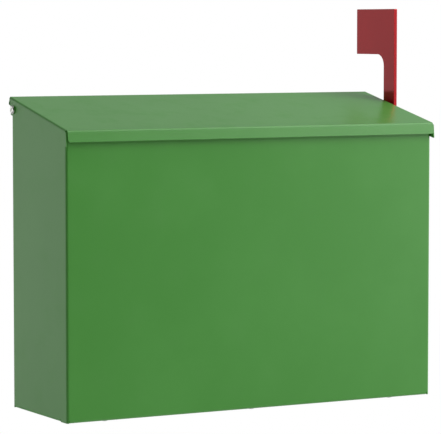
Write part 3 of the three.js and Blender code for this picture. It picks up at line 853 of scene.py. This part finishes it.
def flagPlate():
    # drawn about the pivot: a runs to the wall and b up. A polar foot with the stop pin's curved slot,
    # the arm above it, the blade, and a fan of quads in the fillet between them
    half, foot, small, fillet = flag["arm"] / 2, flag["foot"], flag["corner"], flag["fillet"]
    bladeFoot = flag["reach"] - flag["blade"][1]
    far = flag["blade"][0] - half
    curve = cornerStops(small, 5)[:-1]
    armA = np.concatenate([-half + curve, runs(-half + small, half, step=flag["armStep"])])
    armAngles = np.arccos(armA[::-1] / foot)
    upper = np.concatenate([
        runs(0, armAngles[0], step=flag["angleStep"]), armAngles[1:-1],
        runs(armAngles[-1], math.pi, step=flag["angleStep"]),
    ])
    whole = np.concatenate([runs(-math.pi, 0, step=flag["angleStep"])[:-1], upper])
    patches = []

    def put(a, b):
        patches.append(surface(flag["inside"] + flag["thickness"], a, b))

    def ring(radii, angles):
        put(radii[:, None] * np.cos(angles), radii[:, None] * np.sin(angles))

    stop, slot = flag["stopRadius"], flag["slotHalf"]
    ring(runs(flag["hole"], stop - slot, step=flag["footStep"]), whole)
    ring(runs(stop + slot, foot, step=flag["footStep"]), whole)
    # beside the slot's round ends the band starts at acos((r^2 + R^2 - w^2) / (2 r R))
    r = stop + slot * np.sin(np.linspace(-math.pi / 2, math.pi / 2, 13))
    ratio = (r ** 2 + stop ** 2 - slot ** 2) / (2 * r * stop)
    first = np.arccos(np.clip(ratio, -1, 1))[:, None]
    ring(r, first + (math.pi - 2 * first) * (upper / math.pi))
    # arm: from the foot's arc up to the fillet, then beside it
    root = np.sqrt(foot ** 2 - armA ** 2)
    put(armA, root + (bladeFoot - fillet - root) * np.linspace(0, 1, 14)[:, None])
    fan = np.linspace(0, 1, 7)
    put(armA, (bladeFoot - fillet * fan[::-1])[:, None])
    sweep = np.linspace(0, math.pi / 2, 13)[:, None]
    put(half + fillet * (1 - np.cos(sweep)) * fan, bladeFoot - fillet * (1 - np.sin(sweep)) * fan)
    # blade: its two far corners and its top near corner are round
    bladeA = np.concatenate([
        armA, half + fillet * fan[1:], runs(half + fillet, far - small, step=flag["bladeStep"])[1:],
        (far - curve)[::-1],
    ])
    bottom = bladeFoot + rounded(far - bladeA, small)
    top = flag["reach"] - rounded(np.minimum(bladeA + half, far - bladeA), small)
    put(bladeA, bottom + (top - bottom) * np.linspace(0, 1, 12)[:, None])
    return [(points + pivot, quads) for points, quads in patches]


towardsBox = (0, pivotY, 200 * mm)
thick = flag["thickness"]
sheetPiece("flagPlate", flagPlate(), thick, "red_coat", "flag", "flag", towardsBox, flag["edge"])
print("flag made")

# Turned pieces and screws are in millimetres about +Z with their seat at zero; solidPiece scales them.
lidBolt = {"shank": 2.0, "head": 4.05, "height": 2.3, "slot": 1.1, "pitch": 0.7}
flagBolt = {"shank": 2.5, "head": 5.0, "height": 2.8, "slot": 1.3, "pitch": 0.8}
fastening = {
    "gap": 0.3,
    "slotTurn": math.radians(40),
    "washer": 0.8,
    "washerMargin": 2.6,
    "nut": 3.4,
    "nutMargin": 1.45,
    "nutCone": math.radians(30),
    "collar": 1.6,
    "collarChamfer": 0.3,
    "screwEdge": 0.09,
    "nutEdge": 0.1,
    "plainShank": 4.0,
    "threadEnd": 1.5,           # past the nut
    "threadChamfer": 0.5,
    "threadDepth": 0.32,
    "threadRuns": (0.8, 0.9),   # over which it deepens and fades
    "spring": 1.0,
    "springLeaf": 0.4,
}


def screwPatches(bolt, grip):
    # head: over the disc the height is h(r) = rim + (top - rim) sin t with r = flat + (head - flat) cos t,
    # and inside the slot never above its floor. Shank: its radius falls by the thread's depth where the
    # helix z / pitch - angle / turn is between whole numbers
    head, top, shank, chamfer = bolt["head"], bolt["height"], bolt["shank"], fastening["threadChamfer"]
    rim, flat, slot = top / 2, head / 2, bolt["slot"] / 2
    outer = head * np.cos(np.linspace(0, math.acos(slot / head), 13))
    u = np.concatenate([outer, np.linspace(slot, -slot, 7), -outer[::-1]])
    inSlot = np.zeros(len(u), bool)
    inSlot[len(outer):-len(outer)] = True
    reach = np.sqrt(np.clip(head ** 2 - u ** 2, 0, None))
    v = np.sin(np.linspace(-math.pi / 2, math.pi / 2, 25))[:, None] * reach
    fall = np.clip(np.sqrt(u ** 2 + v ** 2) - flat, 0, None) / (head - flat)
    height = rim + (top - rim) * np.sqrt(np.clip(1 - fall ** 2, 0, 1))
    height = np.where(inSlot, np.minimum(height, top - bolt["slot"]), height)
    patches = [surface(u, v, height)]
    # the same columns go on down the rim, under the head and along the shank
    x, y, z = [np.concatenate([grid[0], grid[-1][::-1][1:]]) for grid in np.broadcast_arrays(u, v, height)]
    angle = np.arctan2(y, x)

    def rings(radius, z):
        radius = np.reshape(radius, (-1, 1)) if np.ndim(radius) < 2 else radius
        patches.append(surface(radius * np.cos(angle), radius * np.sin(angle), z))

    rimDown = z * np.array([[1.0], [0.5], [0.08]])
    rings([head] * 3, rimDown)
    rings([head, head - 0.1, shank], np.stack([rimDown[-1], 0 * z, 0 * z]))
    plain, end = -min(fastening["plainShank"], grip / 3), -grip + chamfer
    down = np.concatenate([[0, plain], np.arange(plain, end, -bolt["pitch"] / 7)[1:], [end]])[:, None]
    wave = np.abs(((down / bolt["pitch"] - angle / turn) % 1) * 2 - 1)
    depth = fastening["threadDepth"] * np.clip(wave * 1.6 - 0.3, 0, 1)
    runIn, runOut = fastening["threadRuns"]
    fade = np.clip((plain - down) / runIn, 0, 1) * np.clip((down - end) / runOut, 0, 1)
    rings(shank - depth * fade, down)
    rings([shank, shank - chamfer, 0], np.array([[end], [-grip], [-grip]]))
    return patches


def nutPatches(radius):
    # a hexagon of radius flat / cos(angle from its nearest flat), its corners cut by cones, with the
    # lock collar below and a threaded hole
    flat = radius + fastening["nutMargin"]
    angle = np.linspace(0, turn, 6 * 12 + 1)
    hexagon = flat / np.cos((angle - math.pi / 6) % (math.pi / 3) - math.pi / 6)
    face = np.full_like(angle, flat * 0.97)
    cut = (hexagon - face) * math.tan(fastening["nutCone"])
    hole = np.full_like(angle, radius + fastening["gap"])
    collar = np.full_like(angle, radius + fastening["nutMargin"] * 0.75)
    chamfer, foot = fastening["collarChamfer"], -fastening["nut"]
    end = foot - fastening["collar"]
    outline = [
        (hole, 0), (face, 0), (hexagon, -cut), (hexagon, foot / 2), (hexagon, foot + cut), (face, foot),
        (collar, foot), (collar, end + chamfer), (collar - chamfer, end), (hole, end),
    ]
    radii = np.stack([r for r, z in outline])
    heights = np.stack([np.broadcast_to(z, angle.shape) for r, z in outline])
    cos, sin = np.cos(angle), np.sin(angle)
    bore = surface(hole * cos, hole * sin, np.linspace(end, 0, 9)[:, None])
    return [surface(radii * cos, radii * sin, heights), bore]


def ringPatches(inner, outer, high, soft=0.12):
    # a flat ring with softened edges
    return [lathe([
        (inner, soft), (inner + soft, 0), (outer - soft, 0), (outer, soft), (outer, high - soft),
        (outer - soft, high), (inner + soft, high), (inner, high - soft), (inner, soft),
    ], 48)]


def springPatches(inner, outer):
    # a dished leaf: its rim low, its hub high, the height falling by share ^ 1.6
    leaf = fastening["springLeaf"]
    share = np.linspace(0, 1, 7)
    radius = inner + (outer - inner) * share
    bow = (fastening["spring"] - leaf) * (1 - share ** 1.6)
    low, high = np.stack([radius, bow], 1), np.stack([radius, bow + leaf], 1)
    return [lathe(np.concatenate([low, high[::-1], low[:1]]), 48)]


rivet = {
    "shank": 1.6,
    "dome": 3.3,
    "height": 1.1,
    "rim": 0.12,
    "crownShare": 0.93,         # of a quarter turn, where the mandrel's hole cuts the dome
    "mandrel": 0.95,
    "tail": 2.3,
    "tailLength": 2.4,
}


def rivetPatches(grip):
    # a domed head, dome cos t wide and high as sin t, with the mandrel's dimple; the shank; and the tail
    # upset over the mandrel's head
    seat, rise, rim = fastening["gap"], rivet["height"], rivet["rim"]
    hole, wide = rivet["mandrel"], rivet["tail"]
    t = np.linspace(0, rivet["crownShare"], 8) * math.pi / 2
    across = np.maximum(rivet["dome"] * np.cos(t), hole + 0.15)
    crown = np.stack([across, seat + rim + (rise - rim) * np.sin(t) / np.sin(t[-1])], 1)
    top, end = seat + rise, -grip - fastening["gap"]
    low = end - rivet["tailLength"]
    dimple = [
        (hole, top - 0.12), (hole - 0.05, top - 0.6), (hole - 0.25, top - 0.62), (hole - 0.35, top - 0.45),
        (0, top - 0.4),
    ]
    tail = [
        (0, low), (0.9, low + 0.1), (1.3, low + 0.5), (1.45, low + 0.9), (1.75, low + 0.95),
        (wide * 0.93, end - 1.0), (wide, end - 0.55), (wide * 0.96, end - 0.12), (wide * 0.85, end),
    ]
    neck = [(rivet["shank"], end), (rivet["shank"], seat), (rivet["dome"] - 0.05, seat)]
    return [lathe([*tail, *neck, *crown, *dimple], 28)]


bumper = {
    "head": 5.0,
    "height": 1.6,
    "chamfer": 0.64,
    "neck": 2.2,
    "tip": 1.55,
    "bulb": 3.1,
    "bulbHeight": 2.6,
}


def bumperPatches():
    # a rubber button: rounded head, neck, and a bulb that was pushed through its hole
    seat, under = fastening["gap"], -box["sheet"] / mm - fastening["gap"]
    top, foot = seat + bumper["height"], under - bumper["bulbHeight"]
    head, soft, bulb, tip = bumper["head"], bumper["chamfer"], bumper["bulb"], bumper["tip"]
    return [lathe([
        (0, foot), (tip * 0.7, foot + 0.05), (tip, foot + 0.35), (bulb * 0.97, under - 0.35),
        (bulb, under - 0.12), (bulb * 0.95, under), (bumper["neck"], under), (bumper["neck"], seat),
        (head - 0.2, seat), (head, seat + 0.2), *arc((head - soft, top - soft), soft, 0, 90),
        (head * 0.45, top), (head * 0.4, top - 0.15), (0, top - 0.18),
    ], 44)]


stopPin = {
    "shank": 2.0,
    "head": 3.6,
    "height": 1.0,
    "proud": 1.2,               # past the flag's face
    "chamfer": 0.4,
}


def pinPatches(end):
    # a pin with its head inside the wall
    head, shank, cut = stopPin["head"], stopPin["shank"], stopPin["chamfer"]
    under = -box["sheet"] / mm - 2 * fastening["gap"]
    foot, seat = under - stopPin["height"], under + fastening["gap"]
    return [lathe([
        (0, foot), (head - 0.3, foot), (head, foot + 0.3), (head, seat - 0.15), (head - 0.15, seat),
        (shank, seat), *arc((shank - cut, end - cut), cut, 0, 90, 4), (0, end),
    ])]


turns = {
    "z": np.eye(3),
    "-z": np.diag([1, -1, -1]),
    "x": np.array([[0, 0, 1], [0, 1, 0], [-1, 0, 0]]),
    "-x": np.array([[0, 0, -1], [0, 1, 0], [1, 0, 0]]),
    "y": np.array([[1, 0, 0], [0, 0, 1], [0, -1, 0]]),
}


def turnAbout(axis, angle):
    # the matrix of a turn about x or z
    c, s = math.cos(angle), math.sin(angle)
    if axis == "x":
        return np.array([[1, 0, 0], [0, c, -s], [0, s, c]])
    return np.array([[c, -s, 0], [s, c, 0], [0, 0, 1]])


def solidPiece(name, patches, place, axis, finish, spin=0.0, tilt=0.0, edge=0.0):
    # spun about +Z, turned to the axis, tilted and put in place; the name is the CAD node it stands for
    first, *others = name.split("_")
    ownName = first + "".join(word.capitalize() for word in others)
    matrix = turnAbout("x", tilt) @ turns[axis] @ turnAbout("z", spin)
    centre = place + origin
    parts = [(points * mm @ matrix.T + centre, quads) for points, quads in patches]
    piece = makePiece(ownName, welded(ownName, parts, centre), finish, "box", [name])
    softenEdges(piece, edge * mm, joins["solidAngle"])


halfWidth = box["halfWidth"] / mm
washerIn = halfWidth - box["sheet"] / mm - fastening["gap"]
nutIn = washerIn - fastening["washer"] - fastening["gap"]
pastNut = fastening["nut"] + fastening["collar"] + fastening["threadEnd"]
lidSeat = lidHigh.x / mm + fastening["gap"]
lidHole = lidBolt["shank"] + fastening["gap"]
lidScrew = screwPatches(lidBolt, lidSeat - nutIn + pastNut)
lidWasher = ringPatches(lidHole, lidHole + fastening["washerMargin"], fastening["washer"])
lidNut = nutPatches(lidBolt["shank"])
# what sits on each hinge screw: surfaces, distance from the middle, finish, turn, rounded edge
onHinge = {
    "lid_screw_": (lidScrew, lidSeat, "bright_steel", fastening["slotTurn"], fastening["screwEdge"]),
    "lid_washer_": (lidWasher, washerIn - fastening["washer"], "zinc_steel", 0, 0),
    "lid_nut_": (lidNut, nutIn, "zinc_steel", 0, fastening["nutEdge"]),
}
for side, sign, out in (("left", -1, "-x"), ("right", 1, "x")):
    for name, (patches, x, finish, spin, edge) in onHinge.items():
        place = np.array([sign * x * mm, hingeY, hingeZ])
        solidPiece(name + side, patches, place, out, finish, spin=spin, edge=edge)

flagOut = (flag["inside"] + flag["thickness"]) / mm
flagHole = flagBolt["shank"] + fastening["gap"]
hub = flag["stopRadius"] / mm - stopPin["shank"] - 3 * fastening["gap"]
flagSeat = flagOut + fastening["spring"] + 2 * fastening["gap"]
spacer = flag["inside"] / mm - halfWidth - 2 * fastening["gap"]
flagSpacer = ringPatches(flagHole, hub, spacer, 0.25)
flagWasher = ringPatches(flagHole, flagHole + fastening["washerMargin"], fastening["washer"])
flagScrew = screwPatches(flagBolt, flagSeat - nutIn + pastNut)
# what sits on the pivot: surfaces, distance from the middle, finish, rounded edge
onPivot = {
    "flag_spacer": (flagSpacer, halfWidth + fastening["gap"], "white_nylon", 0),
    "flag_spring_washer": (springPatches(flagHole, hub), flagOut + fastening["gap"], "zinc_steel", 0),
    "flag_washer": (flagWasher, washerIn - fastening["washer"], "zinc_steel", 0),
    "flag_nut": (nutPatches(flagBolt["shank"]), nutIn, "zinc_steel", fastening["screwEdge"]),
    "flag_screw": (flagScrew, flagSeat, "bright_steel", fastening["screwEdge"]),
}
for name, (patches, x, finish, edge) in onPivot.items():
    solidPiece(name, patches, pivot + (x * mm, 0, 0), "x", finish, edge=edge)
pinPlace = pivot + (box["halfWidth"], flag["stopRadius"], 0)
pin = pinPatches(flagOut + stopPin["proud"] - halfWidth)
solidPiece("flag_stop_pin", pin, pinPlace, "x", "zinc_steel")
print("hinge and pivot hardware made")

sheetGap = fastening["gap"]
panelRivet = rivetPatches(2 * box["sheet"] / mm + sheetGap)
railRivet = rivetPatches(rail["sheet"] / mm + sheetGap + back["sheet"] / mm)
railFoot = backFace + box["gap"] + rail["sheet"]
returnMiddle = (box["returnDepth"] + box["bend"]) / 2
bumperY = returnMiddle * slopeCos
bumperZ = edgeHeight(0) - box["returnDrop"] + returnMiddle * slopeSin
for name in sorted(nodes):
    low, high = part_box(name)
    x, y, z = np.array((low + high) / 2) - origin
    if name.startswith("back_rivet"):
        solidPiece(name, panelRivet, np.array([x, box["depth"], z]), "y", "rivet_aluminium")
    if name.startswith("floor_rivet"):
        solidPiece(name, panelRivet, np.array([x, y, 0]), "-z", "rivet_aluminium")
    if "_rail_rivet" in name:
        solidPiece(name, railRivet, np.array([x, railFoot, z]), "y", "rivet_aluminium")
    if name.startswith("lid_bumper"):
        bumperPlace = np.array([x, bumperY, bumperZ])
        solidPiece(name, bumperPatches(), bumperPlace, "z", "bumper_rubber", tilt=box["slope"])
print("rivets and bumpers made")

view = {
    "place": (-1.20094, -2.12077, 0.36766),     # from the front panel's foot
    "yaw": 28.739,
    "pitch": 4.284,
    "lens": 208.18,
    "sensor": 36,
    "near": 0.1,
    "far": 100,
}
cameraData = bpy.data.cameras.new("camera")
cameraData.lens = view["lens"]
cameraData.sensor_width = view["sensor"]
cameraData.clip_start = view["near"]
cameraData.clip_end = view["far"]
camera = bpy.data.objects.new("camera", cameraData)
camera.location = origin + view["place"]
camera.rotation_euler = (math.radians(90 - view["pitch"]), 0, -math.radians(view["yaw"]))
scene.collection.objects.link(camera)
scene.camera = camera
scene.view_settings.view_transform = "Standard"

studio = {
    "target": (0, -0.09, 0.02),
    # name: azimuth from -Y towards +X, elevation, distance, size, power
    "lamps": {
        "low": (55, 7, 3.0, 2.15, 31),
        "high": (46, 34, 3.0, 2.15, 58),
        "left": (-112, 8, 2.4, 1.6, 4),
        "top": (92, 62, 2.4, 1.7, 18),
    },
    "wallGlow": 0.84,           # behind the box, near the horizon
    "wallGlowHigh": 0.28,       # and overhead
    "floorGlow": 0.45,          # below the horizon in front
    "floorHalf": 5.0,
    "floorDrop": 1.1,           # below the box
    "floorLight": 0.1,
}
for name, (azimuth, elevation, distance, size, power) in studio["lamps"].items():
    lampData = bpy.data.lights.new(name, "AREA")
    lampData.shape = "RECTANGLE"
    lampData.size = size
    lampData.size_y = size
    lampData.energy = power
    lamp = bpy.data.objects.new(name, lampData)
    a, e = math.radians(azimuth), math.radians(elevation)
    away = Vector((math.sin(a) * math.cos(e), -math.cos(a) * math.cos(e), math.sin(e)))
    lamp.location = Vector(studio["target"]) + distance * away
    lamp.rotation_euler = away.to_track_quat("Z", "Y").to_euler()
    scene.collection.objects.link(lamp)

# a white room: rays from the camera see it plain, the box is lit by its softer glow
world = bpy.data.worlds.new("studio")
scene.world = world
f = Finish(world)
direction = f.node("TexCoord", out="Generated")
toY, toZ = [f.node("SeparateXYZ", {}, {"Vector": direction}, out=letter) for letter in "YZ"]
behind = toY.step(-0.3, 0.4)
high = toZ.step(0.1, 0.6)
below = 1 - toZ.step(-0.15, 0.0)
overhead = studio["wallGlow"] - studio["wallGlowHigh"]
glow = behind * (studio["wallGlow"] - high * overhead) + (1 - behind) * below * studio["floorGlow"]
seen = f.node("LightPath", out="Is Camera Ray")
room = f.node("Background", {}, {"Color": (1, 1, 1, 1), "Strength": seen + (1 - seen) * glow})
f.node("OutputWorld", {}, {"Surface": room})

floorFinish = newFinish("paleFloor")
speck = floorFinish.noise(3, 2, 0.5)
principled(floorFinish, {
    "Base Color": floorFinish.mix(speck, (0.80, 0.80, 0.80), (0.84, 0.84, 0.84)),
    "Roughness": 0.8,
    "Emission Color": (1, 1, 1, 1),
    "Emission Strength": studio["floorLight"],
})
half = studio["floorHalf"]
floorMesh = bpy.data.meshes.new("floor")
corners = [(-half, -half), (half, -half), (half, half), (-half, half)]
floorMesh.from_pydata([(x, y, bodyLow.z - studio["floorDrop"]) for x, y in corners], [], [(0, 1, 2, 3)])
floorMesh.materials.append(floorFinish.owner)
floor = bpy.data.objects.new("floor", floorMesh)
scene.collection.objects.link(floor)
print("studio made")

bpy.context.view_layer.update()
